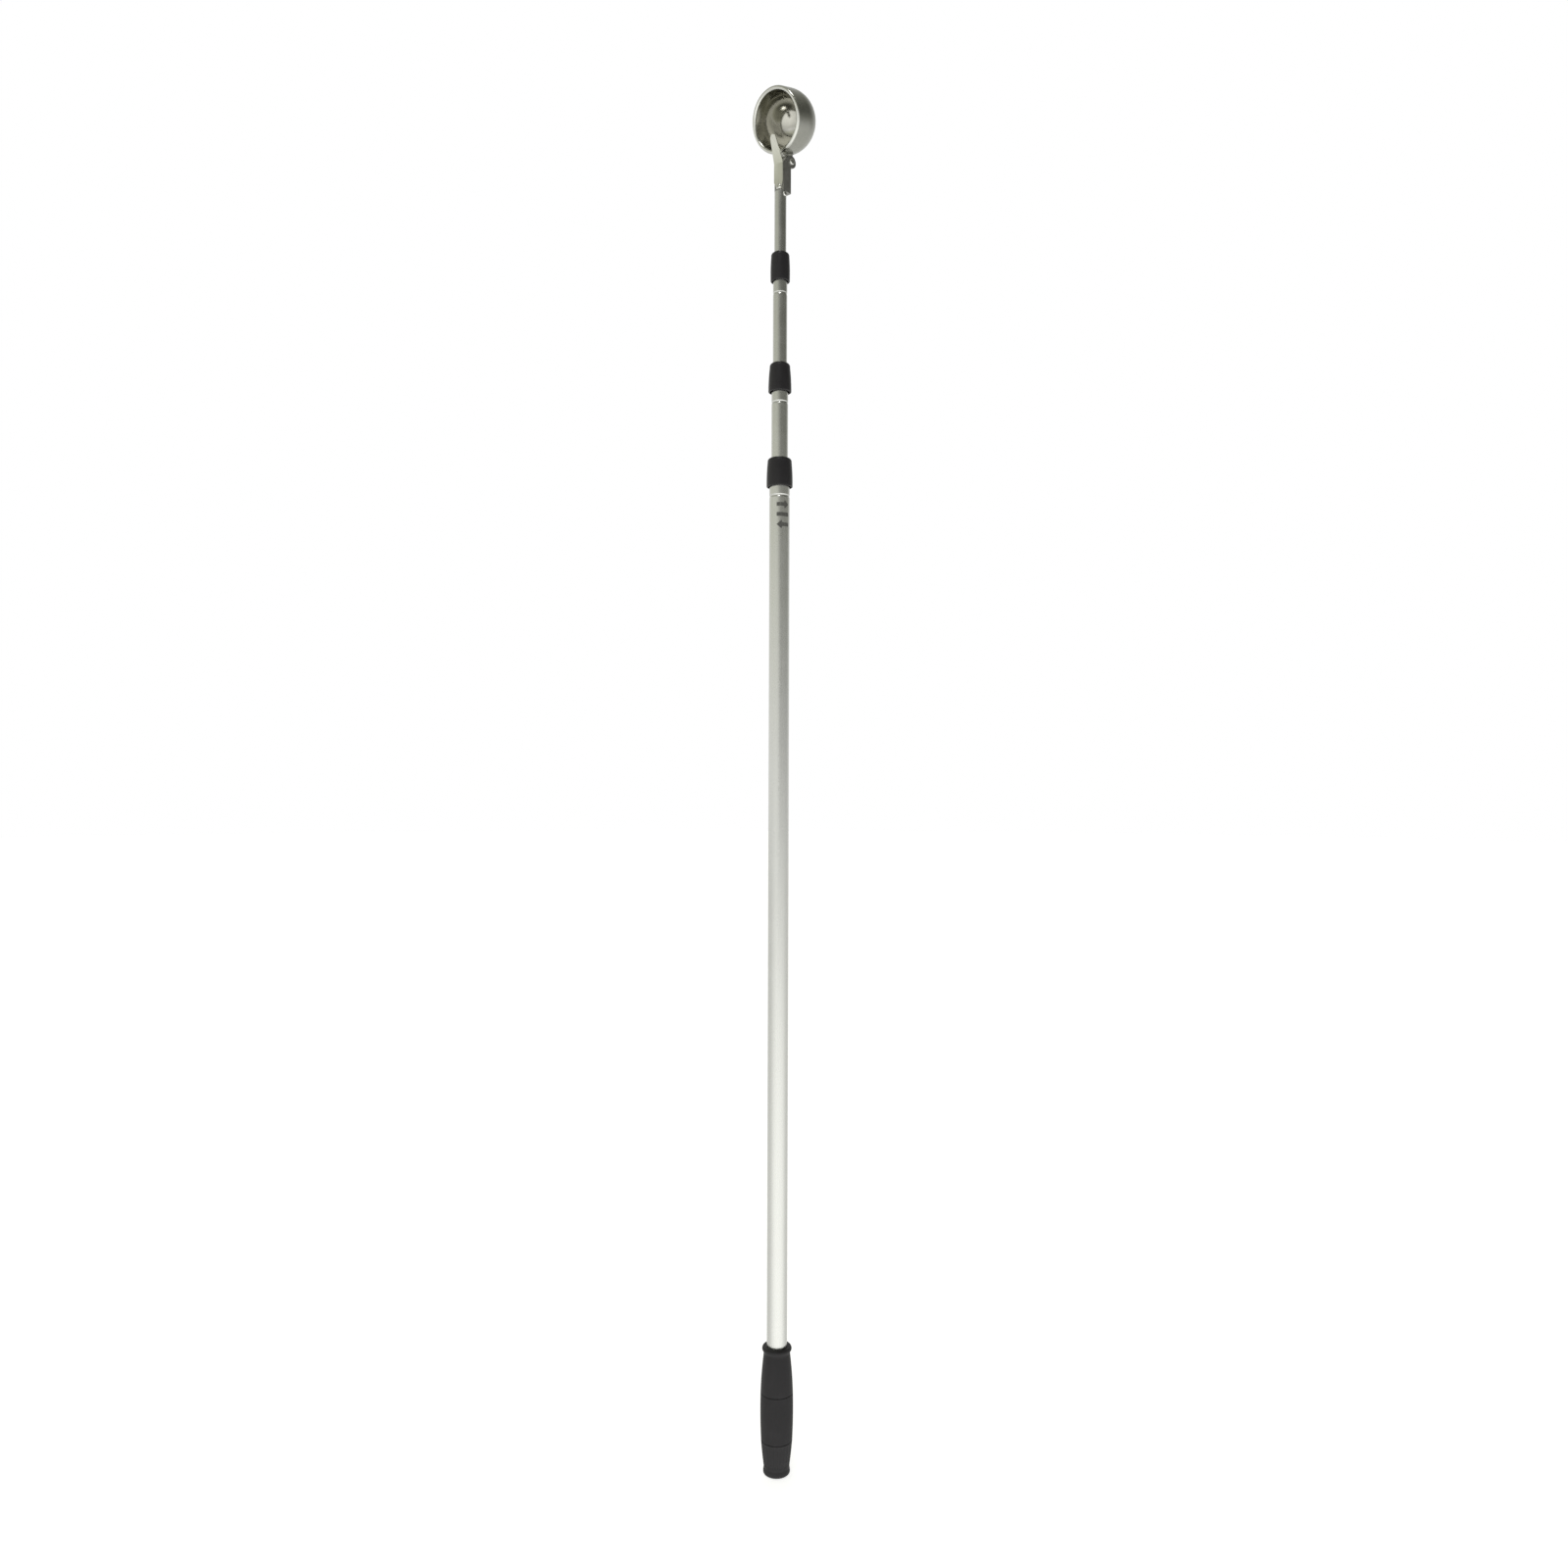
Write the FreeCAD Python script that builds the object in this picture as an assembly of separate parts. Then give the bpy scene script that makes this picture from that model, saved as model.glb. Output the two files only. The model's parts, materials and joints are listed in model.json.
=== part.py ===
"""Telescopic ball retriever: a grip, four telescoping tubes with twist locks, and a sprung ball cup.

Units are millimetres.  +Z runs up the pole, the origin is the centre of the grip's butt face, and the
cup's mouth faces -Y.  Every piece is written to parts/NODE.step in its place on the assembled pole.
"""

import FreeCAD, Part

import math
import os

from FreeCAD import Placement, Rotation, Vector

# ---------------------------------------------------------------- driving dimensions
GRIP_LENGTH = 106.6
GRIP_FLOOR = 5.0                 # rubber under the end of the outer tube
GRIP_RADIUS = 13.75              # widest, at mid-length
GRIP_TOP_NECK = 11.15            # just inside each end bead
GRIP_BUTT_NECK = 10.75
GRIP_TOP_BEAD = 12.4
GRIP_BUTT_BEAD = 11.3
GRIP_LOW_BAND = (13.15, 28.5)    # radius and height of the ring grooves between the three zones
GRIP_HIGH_BAND = (13.6, 68.0)
GRIP_BAND_DEPTH = 0.45

TUBE_RADIUS = {1: 8.5, 2: 6.95, 3: 5.95, 4: 5.0}
TUBE_WALL = {1: 0.7, 2: 0.5, 3: 0.5, 4: 0.5}
TUBE_BOTTOM = {1: GRIP_FLOOR, 2: 114.0, 3: 233.0, 4: 334.0}
GROOVE_HEIGHT = {1: 819.0, 2: 897.5, 3: 989.0}
GROOVE_DEPTH = {1: 0.35, 2: 0.3, 3: 0.25}
GROOVE_HALF_WIDTH = 1.1

COLLAR_BOTTOM = {3: 827.0, 2: 906.6, 1: 999.4}   # collar 3 is the lowest and largest
COLLAR_TUBE = {3: 1, 2: 2, 1: 3}                 # the tube that each collar caps
COLLAR_RIM_RADIUS = {3: 10.95, 2: 9.7, 1: 8.1}
COLLAR_TOP_RADIUS = {3: 10.1, 2: 8.55, 1: 7.65}
COLLAR_HEIGHT = 24.3
COLLAR_SEAT = 18.0               # from the collar's lower rim up to the tube's end
COLLAR_SKIRT_DEPTH = 9.0         # hollow below the seat
COLLAR_SKIRT_WALL = 1.1
COLLAR_LIP_GAP = 0.35            # around the tube that slides through
BUSH_FLANGE = 1.2
RUNNING_GAP = 0.06               # radial, bush to sliding tube
SLEEVE_GAP = 0.08                # radial, expander sleeve to outer tube

PLUG_LENGTH = 16.0
STUD_RADIUS = {2: 2.4, 3: 2.0, 4: 1.7}
STUD_LENGTH = 26.0
SHOULDER = 2.0                   # lock screw flange under the tube's end
SLEEVE_LENGTH = 18.0
CLIP_THICKNESS = 1.2

BLOCK_BOTTOM = 1074.6
BLOCK_TOP = 1098.0
BLOCK_HALF_WIDTH = 5.1
BLOCK_FRONT = -1.75
BLOCK_BACK = 7.95
SHOULDER_THICKNESS = 0.8         # round flange of the block on the tube's rim
SHANK_LENGTH = 24.0              # of the block, down inside the innermost tube
NECK_RIVET_DROP = 2.5            # below the block
NECK_RIVET_RADIUS = 1.2

PIN = Vector(0, 8.3, 1101.8)     # hinge axis, along X
PIN_RADIUS = 1.5
PIN_GAP = 0.05
EAR_RADIUS = 5.2
EAR_WIDTH = 1.7
KNUCKLE_RADIUS = 3.4
KNUCKLE_WIDTH = 0.9
LUG_GAP = 0.3                    # between each ear and the lug
LUG_PLATE_LOW = 6.3              # from the pin up to the plate's underside
LUG_HALF_WIDTH = 4.6
LUG_FRONT = -5.0                 # ends of the plate, along the cup's depth from the pin
LUG_BACK = 4.5
RIVET_RADIUS = 1.2
RIVET_PLACES = (-2.9, 2.4)       # along the plate from the pin

FINGER_THICKNESS = 1.1
FINGER_TIP_HEIGHT = 1119.4
FINGER_TIP_RADIUS = 3.1
FINGER_SCREW_HEIGHT = 1078.4
FINGER_SCREW_X = 0.6
FINGER_SCREW_RADIUS = 1.5
FINGER_FOOT_RADIUS = 2.8          # round lower end, about the screw
FINGER_FOOT_HEIGHT = 4.5          # from the screw up to the full width
FINGER_LEAN = 20.5               # degrees forward of vertical

CUP_MOUTH = Vector(0, -7.4, 1132.6)
CUP_TILT = 15.5                  # degrees that the mouth looks down
CUP_RADIUS = 25.7
CUP_WALL = 1.3
CUP_LIP_RADIUS = 1.7
CUP_STRAIGHT = 13.5              # cylindrical depth before the round bottom

SPRING_WIRE = 0.4
SPRING_COIL = 2.6
SPRING_PITCH = 0.82
SPRING_TURNS = 3
SPRING_LEG = 5.9
SPRING_RISE = 36.0               # degrees between the upper leg and the lug's plate

Z_AXIS = Vector(0, 0, 1)
X_AXIS = Vector(1, 0, 0)


# ---------------------------------------------------------------- shape helpers
def outline(start, steps):
    """Closed wire in the XZ plane from a start (r, z), line steps (r, z) and arc steps (rm, zm, r, z)."""
    here = Vector(start[0], 0, start[1])
    first = here
    edges = []
    for step in steps:
        there = Vector(step[-2], 0, step[-1])
        if len(step) == 4:
            edges.append(Part.Arc(here, Vector(step[0], 0, step[1]), there).toShape())
        else:
            edges.append(Part.makeLine(here, there))
        here = there
    if here.distanceToPoint(first) > 1e-6:
        edges.append(Part.makeLine(here, first))
    return Part.Wire(edges)


def turned(start, steps):
    """Solid of revolution about Z from an outline."""
    return Part.Face(outline(start, steps)).revolve(Vector(), Z_AXIS, 360)


def rod(radius, low, high):
    """Upright cylinder on the pole's axis between two heights."""
    return Part.makeCylinder(radius, high - low, Vector(0, 0, low))


def ring(outer, inner, low, high):
    """Upright tube on the pole's axis."""
    return rod(outer, low, high).cut(rod(inner, low - 1, high + 1))


def cross_rod(radius, x_low, x_high, centre=PIN):
    """Cylinder along X through a centre in the YZ plane."""
    return Part.makeCylinder(radius, x_high - x_low, Vector(x_low, centre.y, centre.z), X_AXIS)


def prism_x(points, x_low, x_high):
    """Prism along X from (y, z) corners."""
    corners = [Vector(x_low, y, z) for y, z in points]
    return Part.Face(Part.makePolygon(corners + corners[:1])).extrude(Vector(x_high - x_low, 0, 0))


def one_solid(shape):
    """The single solid that a boolean leaves, with its faces merged."""
    shape = shape.removeSplitter()
    if len(shape.Solids) != 1:
        raise ValueError(f"expected one solid, found {len(shape.Solids)}")
    return shape.Solids[0]


def save(name, shape):
    """Write one node's STEP file and report its volume."""
    if not shape.isValid():
        raise ValueError(f"{name} is not a valid solid")
    shape.exportStep(f"parts/{name}.step")
    print(f"{name:20s} {len(shape.Solids)} solid(s) {shape.Volume:10.1f} mm3")


# ---------------------------------------------------------------- handle
def grip_sleeve():
    """Rubber grip: closed butt, two end beads, a swollen middle and two ring grooves."""
    bore = TUBE_RADIUS[1]
    low_radius, low_band = GRIP_LOW_BAND
    high_radius, high_band = GRIP_HIGH_BAND
    groove = GRIP_BAND_DEPTH
    return turned(
        (0, 0),
        [
            (GRIP_BUTT_BEAD - 2.2, 0),
            (GRIP_BUTT_BEAD - 0.5, 0.7, GRIP_BUTT_BEAD, 2.4),
            (GRIP_BUTT_BEAD - 0.2, 4.2, GRIP_BUTT_NECK, 5.8),
            (GRIP_BUTT_NECK + 0.2, 7.6),
            (GRIP_BUTT_NECK + 1.4, 17.0, low_radius, low_band - groove),
            (low_radius - groove, low_band, low_radius, low_band + groove),
            (GRIP_RADIUS, (low_band + high_band) / 2, high_radius, high_band - groove),
            (high_radius - groove, high_band, high_radius, high_band + groove),
            (GRIP_TOP_NECK + 1.6, 84.0, GRIP_TOP_NECK, GRIP_LENGTH - 6.4),
            (GRIP_TOP_NECK + 0.1, GRIP_LENGTH - 4.8, GRIP_TOP_BEAD - 0.4, GRIP_LENGTH - 3.4),
            (GRIP_TOP_BEAD, GRIP_LENGTH - 1.9, GRIP_TOP_BEAD - 0.9, GRIP_LENGTH),
            (bore, GRIP_LENGTH),
            (bore, GRIP_FLOOR),
            (0, GRIP_FLOOR),
        ],
    )


def butt_plug():
    """Hollow plug in the outer tube's lower end, which stops the collapsed tubes."""
    inner = TUBE_RADIUS[1] - TUBE_WALL[1]
    plug = rod(inner, GRIP_FLOOR, GRIP_FLOOR + 18.0)
    return one_solid(plug.cut(rod(inner - 2.2, GRIP_FLOOR - 1, GRIP_FLOOR + 14.0)))


# ---------------------------------------------------------------- tubes, collars and guides
def tube_top(number):
    """Height of a tube's upper end."""
    if number == 4:
        return BLOCK_BOTTOM
    collar = {tube: c for c, tube in COLLAR_TUBE.items()}[number]
    return COLLAR_BOTTOM[collar] + COLLAR_SEAT


def tube(number):
    """Thin-walled tube, with a rolled stop groove under its collar or, on the innermost, a rivet hole."""
    outer = TUBE_RADIUS[number]
    inner = outer - TUBE_WALL[number]
    low = TUBE_BOTTOM[number]
    high = tube_top(number)
    if number not in GROOVE_HEIGHT:
        return ring(outer, inner, low, high).cut(neck_rivet_hole())
    middle = GROOVE_HEIGHT[number]
    depth = GROOVE_DEPTH[number]
    below = middle - GROOVE_HALF_WIDTH
    above = middle + GROOVE_HALF_WIDTH
    return turned(
        (inner, low),
        [
            (outer, low),
            (outer, below),
            (outer - depth, middle, outer, above),
            (outer, high),
            (inner, high),
            (inner, above),
            (inner - depth, middle, inner, below),
        ],
    )


def collar(number):
    """Flared collar: hollow skirt, seat on the outer tube, and a domed lip round the sliding tube."""
    low = COLLAR_BOTTOM[number]
    seat = TUBE_RADIUS[COLLAR_TUBE[number]]
    slider = TUBE_RADIUS[COLLAR_TUBE[number] + 1]
    rim = COLLAR_RIM_RADIUS[number]
    shoulder = COLLAR_TOP_RADIUS[number]
    high = low + COLLAR_HEIGHT
    flange_top = low + COLLAR_SEAT + BUSH_FLANGE
    skirt = rim - COLLAR_SKIRT_WALL
    lip = slider + COLLAR_LIP_GAP
    return turned(
        (skirt, low),
        [
            (rim - 0.7, low),
            (rim - 0.2, low + 0.2, rim - 0.05, low + 0.8),
            ((rim + shoulder) / 2 + 0.25, low + 11.0, shoulder, high - 3.4),
            (shoulder - 0.35, high - 1.5, shoulder - 1.6, high - 0.4),
            (lip + 0.3, high),
            (lip, high - 0.3),
            (lip, flange_top),
            (seat, flange_top),
            (seat, low + COLLAR_SKIRT_DEPTH),
            (skirt - 0.4, low + COLLAR_SKIRT_DEPTH - 0.8),
        ],
    )


def guide_bush(number):
    """Flanged polymer guide between the outer tube's end and the sliding tube."""
    outer_tube = COLLAR_TUBE[number]
    barrel = TUBE_RADIUS[outer_tube] - TUBE_WALL[outer_tube]
    bore = TUBE_RADIUS[outer_tube + 1] + RUNNING_GAP
    low = GROOVE_HEIGHT[outer_tube] + GROOVE_HALF_WIDTH + 0.2
    end = tube_top(outer_tube)
    flange = rod(TUBE_RADIUS[outer_tube], end, end + BUSH_FLANGE)
    body = rod(barrel, low, end).fuse(flange)
    return one_solid(body.cut(rod(bore, low - 1, end + BUSH_FLANGE + 1)))


# ---------------------------------------------------------------- twist locks
def lock_levels(number):
    """Heights in a lock: shoulder underside, sleeve top and bottom, and the stud's tip."""
    shoulder = TUBE_BOTTOM[number] - SHOULDER
    sleeve_top = shoulder - 1.5
    return shoulder, sleeve_top, sleeve_top - SLEEVE_LENGTH, shoulder - STUD_LENGTH


def lock_screw(number):
    """Plug pressed in the sliding tube, with a shoulder and a stud below it."""
    bore = TUBE_RADIUS[number] - TUBE_WALL[number]
    end = TUBE_BOTTOM[number]
    shoulder, _, _, tip = lock_levels(number)
    stud = STUD_RADIUS[number]
    neck = stud - 0.5
    clip = tip + 1.6
    return turned(
        (0, tip),
        [
            (stud - 0.4, tip),
            (stud, tip + 0.4),
            (stud, clip),
            (neck, clip),
            (neck, clip + CLIP_THICKNESS),
            (stud, clip + CLIP_THICKNESS),
            (stud, shoulder),
            (TUBE_RADIUS[number] - 0.1, shoulder),
            (TUBE_RADIUS[number] - 0.1, end),
            (bore, end),
            (bore, end + PLUG_LENGTH - 1.0),
            (bore - 1.0, end + PLUG_LENGTH),
            (0, end + PLUG_LENGTH),
        ],
    )


def sleeve_cone(number):
    """Radii of the cone between wedge nut and sleeve, at the sleeve's bottom and 9 mm above it."""
    outer = TUBE_RADIUS[number - 1] - TUBE_WALL[number - 1] - SLEEVE_GAP
    return outer - 0.9, STUD_RADIUS[number] + 0.75


def wedge_nut(number):
    """Cone nut on the stud that spreads the sleeve as the tube is twisted."""
    _, _, sleeve_low, _ = lock_levels(number)
    wide, narrow = sleeve_cone(number)
    bore = STUD_RADIUS[number] + PIN_GAP
    return turned(
        (bore, sleeve_low - 1.6),
        [
            (wide, sleeve_low - 1.6),
            (wide, sleeve_low),
            (narrow, sleeve_low + 9.0),
            (bore, sleeve_low + 9.0),
        ],
    )


def expander_sleeve(number):
    """Split polymer sleeve that grips the inside of the outer tube, with grooves and a slit."""
    _, sleeve_top, sleeve_low, _ = lock_levels(number)
    outer = TUBE_RADIUS[number - 1] - TUBE_WALL[number - 1] - SLEEVE_GAP
    wide, narrow = sleeve_cone(number)
    bore = STUD_RADIUS[number] + 0.3
    body = turned(
        (wide, sleeve_low),
        [
            (outer - 0.3, sleeve_low),
            (outer, sleeve_low + 0.3),
            (outer, sleeve_top - 0.5),
            (outer - 0.5, sleeve_top),
            (bore, sleeve_top),
            (bore, sleeve_low + 9.6),
            (narrow, sleeve_low + 9.0),
        ],
    )
    for step in range(4):
        height = sleeve_low + 3.0 + 4.0 * step
        body = body.cut(ring(outer + 1, outer - 0.35, height - 0.5, height + 0.5))
    slit = Part.makeBox(outer + 1, 0.8, SLEEVE_LENGTH - 3.0, Vector(0, -0.4, sleeve_low - 1.0))
    return one_solid(body.cut(slit))


def stud_clip(number):
    """Open clip in the stud's neck that keeps the wedge nut on."""
    _, _, _, tip = lock_levels(number)
    stud = STUD_RADIUS[number]
    low = tip + 1.6
    body = ring(stud + 1.2, stud - 0.5, low, low + CLIP_THICKNESS)
    gap = Part.makeBox(stud + 3, stud, CLIP_THICKNESS + 2, Vector(0, -stud / 2, low - 1))
    return one_solid(body.cut(gap))


# ---------------------------------------------------------------- head block
def screw_hole():
    """Hole for the finger's screw, from the front into the block."""
    start = Vector(FINGER_SCREW_X, BLOCK_FRONT - 5, FINGER_SCREW_HEIGHT)
    return Part.makeCylinder(FINGER_SCREW_RADIUS + 0.03, 11.4, start, Vector(0, 1, 0))


def neck_rivet_hole():
    """Hole for the neck rivet, from the right through the tube into the shank."""
    start = Vector(0.8, 0, BLOCK_BOTTOM - NECK_RIVET_DROP)
    return Part.makeCylinder(NECK_RIVET_RADIUS + 0.04, 10.0, start, X_AXIS)


def neck_rivet():
    """Round-head blind rivet that holds the block's shank in the innermost tube."""
    seat = TUBE_RADIUS[4] + 0.02
    body = turned(
        (0, 1.2),
        [
            (NECK_RIVET_RADIUS, 1.2),
            (NECK_RIVET_RADIUS, seat),
            (2.0, seat),
            (1.75, seat + 0.6, 1.1, seat + 0.85),
            (0, seat + 0.85),
        ],
    )
    body.Placement = Placement(Vector(0, 0, BLOCK_BOTTOM - NECK_RIVET_DROP), Rotation(Vector(0, 1, 0), 90))
    return body


def tangent_point(corner, centre, radius, side):
    """Point where the line from a (y, z) corner touches a circle, on the chosen side (+1 or -1)."""
    dy = corner[0] - centre.y
    dz = corner[1] - centre.z
    distance = math.hypot(dy, dz)
    angle = math.atan2(dz, dy) + side * math.acos(radius / distance)
    return centre.y + radius * math.cos(angle), centre.z + radius * math.sin(angle)


def ear_prism(x_low, x_high):
    """One hinge ear: a round boss blended into the block's top and back by tangent flanks."""
    back_foot = (BLOCK_BACK, BLOCK_TOP - 1.5)
    front_foot = (-1.5, BLOCK_TOP)
    back = tangent_point(back_foot, PIN, EAR_RADIUS, 1)
    front = tangent_point(front_foot, PIN, EAR_RADIUS, -1)
    web = [front_foot, (front_foot[0], BLOCK_TOP - 2), (BLOCK_BACK - 1, back_foot[1]), back_foot]
    web += [back, (PIN.y, PIN.z), front]
    return prism_x(web, x_low, x_high).fuse(cross_rod(EAR_RADIUS, x_low, x_high))


def head_block():
    """Machined block with a shank down into the innermost tube and two hinge ears."""
    width = 2 * BLOCK_HALF_WIDTH
    corner = Vector(-BLOCK_HALF_WIDTH, BLOCK_FRONT, BLOCK_BOTTOM)
    block = Part.makeBox(width, BLOCK_BACK - BLOCK_FRONT, BLOCK_TOP - BLOCK_BOTTOM, corner)
    upright = [e for e in block.Edges if abs(e.tangentAt(e.FirstParameter).z) > 0.9]
    block = block.makeFillet(0.8, [e for e in upright if e.CenterOfMass.y > 0])
    for side in (-1, 1):
        near = side * BLOCK_HALF_WIDTH
        far = side * (BLOCK_HALF_WIDTH - EAR_WIDTH)
        block = block.fuse(ear_prism(min(near, far), max(near, far)))
    spring_seat = Part.makeBox(3.4, 6.4, 0.75, Vector(-1.7, BLOCK_FRONT, BLOCK_TOP))
    block = block.fuse(spring_seat)
    block = block.fuse(rod(TUBE_RADIUS[4], BLOCK_BOTTOM, BLOCK_BOTTOM + SHOULDER_THICKNESS))
    bore = TUBE_RADIUS[4] - TUBE_WALL[4]
    foot = BLOCK_BOTTOM - SHANK_LENGTH
    shank = turned((0, foot), [(bore - 1.0, foot), (bore, foot + 1.0), (bore, BLOCK_BOTTOM), (0, BLOCK_BOTTOM)])
    block = block.fuse(shank)
    block = block.cut(cross_rod(PIN_RADIUS, -10, 10))
    return one_solid(block.cut(screw_hole()).cut(neck_rivet_hole()))


def finger():
    """Flat retaining finger: a plate on the block's front face, bent forward and tapered to a round tip."""
    inner = BLOCK_FRONT
    outer = BLOCK_FRONT - FINGER_THICKNESS
    bend = BLOCK_TOP + 0.5
    lean = math.radians(FINGER_LEAN)
    reach = FINGER_TIP_HEIGHT + 2 - bend
    run = reach * math.tan(lean)
    mitre = FINGER_THICKNESS * math.tan(lean / 2)
    strip = prism_x(
        [
            (inner, BLOCK_BOTTOM + 0.6),
            (outer, BLOCK_BOTTOM + 0.6),
            (outer, bend - mitre),
            (outer - run, bend - mitre + reach),
            (outer - run + FINGER_THICKNESS / math.cos(lean), bend - mitre + reach),
            (inner, bend),
        ],
        -BLOCK_HALF_WIDTH,
        BLOCK_HALF_WIDTH,
    )
    tip_centre = FINGER_TIP_HEIGHT - FINGER_TIP_RADIUS
    side = BLOCK_HALF_WIDTH - 0.15
    foot = FINGER_FOOT_RADIUS
    widening = FINGER_SCREW_HEIGHT + FINGER_FOOT_HEIGHT
    face = outline(
        (FINGER_SCREW_X - foot, FINGER_SCREW_HEIGHT),
        [
            (FINGER_SCREW_X, FINGER_SCREW_HEIGHT - foot, FINGER_SCREW_X + foot, FINGER_SCREW_HEIGHT),
            (side, widening),
            (side, BLOCK_TOP - 1.0),
            (FINGER_TIP_RADIUS, tip_centre),
            (0, FINGER_TIP_HEIGHT, -FINGER_TIP_RADIUS, tip_centre),
            (-side, BLOCK_TOP - 1.0),
            (-side, widening),
        ],
    )
    face.translate(Vector(0, -30, 0))
    blank = Part.Face(face).extrude(Vector(0, 40, 0))
    return one_solid(strip.common(blank).cut(screw_hole()))


def finger_screw():
    """Cross-recess pan-head screw through the finger into the block."""
    face = BLOCK_FRONT - FINGER_THICKNESS
    shank = turned(
        (0, 0),
        [
            (2.3, 0),
            (2.5, 0.3),
            (2.1, 0.9, 1.2, 1.25),
            (0, 1.25),
        ],
    )
    shank = shank.fuse(rod(FINGER_SCREW_RADIUS, -6.0, 0.2))
    for turn in (0, 90):
        blade = Part.makeBox(2.6, 0.5, 0.8, Vector(-1.3, -0.25, 0.55))
        blade.rotate(Vector(), Z_AXIS, turn)
        shank = shank.cut(blade)
    shank = one_solid(shank)
    shank.Placement = Placement(Vector(FINGER_SCREW_X, face, FINGER_SCREW_HEIGHT), Rotation(X_AXIS, 90))
    return shank


# ---------------------------------------------------------------- hinge and cup
def hinge_pin():
    """Headed pin along X through both ears and the lug, with a groove for its clip."""
    end = BLOCK_HALF_WIDTH
    shank = PIN_RADIUS - 0.02
    pin = turned(
        (0, -end - 1.9),
        [
            (shank - 0.3, -end - 1.9),
            (shank, -end - 1.6),
            (shank, -end - 1.1),
            (shank - 0.4, -end - 1.1),
            (shank - 0.4, -end - 0.3),
            (shank, -end - 0.3),
            (shank, end),
            (2.5, end),
            (2.5, end + 0.4),
            (2.2, end + 0.95, 1.4, end + 1.15),
            (0, end + 1.15),
        ],
    )
    pin.Placement = Placement(PIN, Rotation(Vector(0, 1, 0), 90))
    return pin


def pin_clip():
    """Open clip in the pin's groove, outside the far ear."""
    end = BLOCK_HALF_WIDTH
    clip = ring(2.6, PIN_RADIUS - 0.38, -end - 1.05, -end - 0.35)
    clip = clip.cut(Part.makeBox(4, 1.6, 3, Vector(0, -0.8, -end - 2.2)))
    clip = one_solid(clip)
    clip.Placement = Placement(PIN, Rotation(Vector(0, 1, 0), 90))
    return clip


def cup_placement():
    """Turns a cup drawn with its mouth at the origin and its depth along +Z into place."""
    return Placement(CUP_MOUTH, Rotation(X_AXIS, -(90 - CUP_TILT)))


def cup_outer():
    """The cup's outside as a filled solid, in place."""
    radius = CUP_RADIUS
    middle = math.sqrt(0.5) * radius
    body = turned(
        (0, 0),
        [
            (radius, 0),
            (radius, CUP_STRAIGHT),
            (middle, CUP_STRAIGHT + middle, 0, CUP_STRAIGHT + radius),
        ],
    )
    body.Placement = cup_placement()
    return body


def cup_bowl():
    """Deep drawn bowl with a rolled lip."""
    outer = CUP_RADIUS
    inner = CUP_RADIUS - CUP_WALL
    half = math.sqrt(0.5)
    lip = CUP_LIP_RADIUS
    lip_centre = outer - lip
    lip_foot = lip + math.sqrt(lip ** 2 - (lip_centre - inner) ** 2)
    body = turned(
        (lip_centre, 0),
        [
            (lip_centre + half * lip, lip - half * lip, outer, lip),
            (outer, CUP_STRAIGHT),
            (half * outer, CUP_STRAIGHT + half * outer, 0, CUP_STRAIGHT + outer),
            (0, CUP_STRAIGHT + inner),
            (half * inner, CUP_STRAIGHT + half * inner, inner, CUP_STRAIGHT),
            (inner, lip_foot),
            (lip_centre - lip, lip, lip_centre, 0),
        ],
    )
    body.Placement = cup_placement()
    return one_solid(body.cut(rivet_holes()))


def lug_point(along, up):
    """(y, z) of a point from the pin, along the cup's depth and up towards the cup."""
    tilt = math.radians(CUP_TILT)
    y = PIN.y + along * math.cos(tilt) - up * math.sin(tilt)
    z = PIN.z + along * math.sin(tilt) + up * math.cos(tilt)
    return y, z


def pin_in_cup():
    """The pin's depth behind the mouth and its drop below the cup's axis."""
    tilt = math.radians(CUP_TILT)
    away = PIN - CUP_MOUTH
    depth = away.y * math.cos(tilt) + away.z * math.sin(tilt)
    drop = away.y * math.sin(tilt) - away.z * math.cos(tilt)
    return depth, drop


def rivet_start(place):
    """The point on the cup's axis over a rivet."""
    _, drop = pin_in_cup()
    return Vector(0, *lug_point(place, drop))


def rivet_way():
    """Direction of both rivets, straight out of the bowl."""
    tilt = math.radians(CUP_TILT)
    return Vector(0, math.sin(tilt), -math.cos(tilt))


def rivet_holes():
    """Holes for both rivets."""
    first, second = (
        Part.makeCylinder(RIVET_RADIUS + 0.02, 40, rivet_start(place), rivet_way()) for place in RIVET_PLACES
    )
    return first.fuse(second)


def hinge_lug():
    """Bracket under the bowl: a saddle plate that hugs it and two knuckles on the pin."""
    half = BLOCK_HALF_WIDTH - EAR_WIDTH - LUG_GAP
    low = LUG_PLATE_LOW
    plate = [lug_point(LUG_FRONT, low), lug_point(LUG_BACK, low)]
    plate += [lug_point(LUG_BACK, low + 7), lug_point(LUG_FRONT, low + 7)]
    body = prism_x(plate, -LUG_HALF_WIDTH, LUG_HALF_WIDTH)
    web = [lug_point(-2.8, 1.0), lug_point(2.8, 1.0), lug_point(5.6, low + 0.3), lug_point(LUG_FRONT, low + 0.3)]
    for side in (-1, 1):
        near = side * half
        far = side * (half - KNUCKLE_WIDTH)
        span = (min(near, far), max(near, far))
        body = body.fuse(prism_x(web, *span))
        body = body.fuse(cross_rod(KNUCKLE_RADIUS, *span))
    body = body.cut(cross_rod(PIN_RADIUS + PIN_GAP, -10, 10))
    return one_solid(body.cut(cup_outer()).cut(rivet_holes()))


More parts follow.
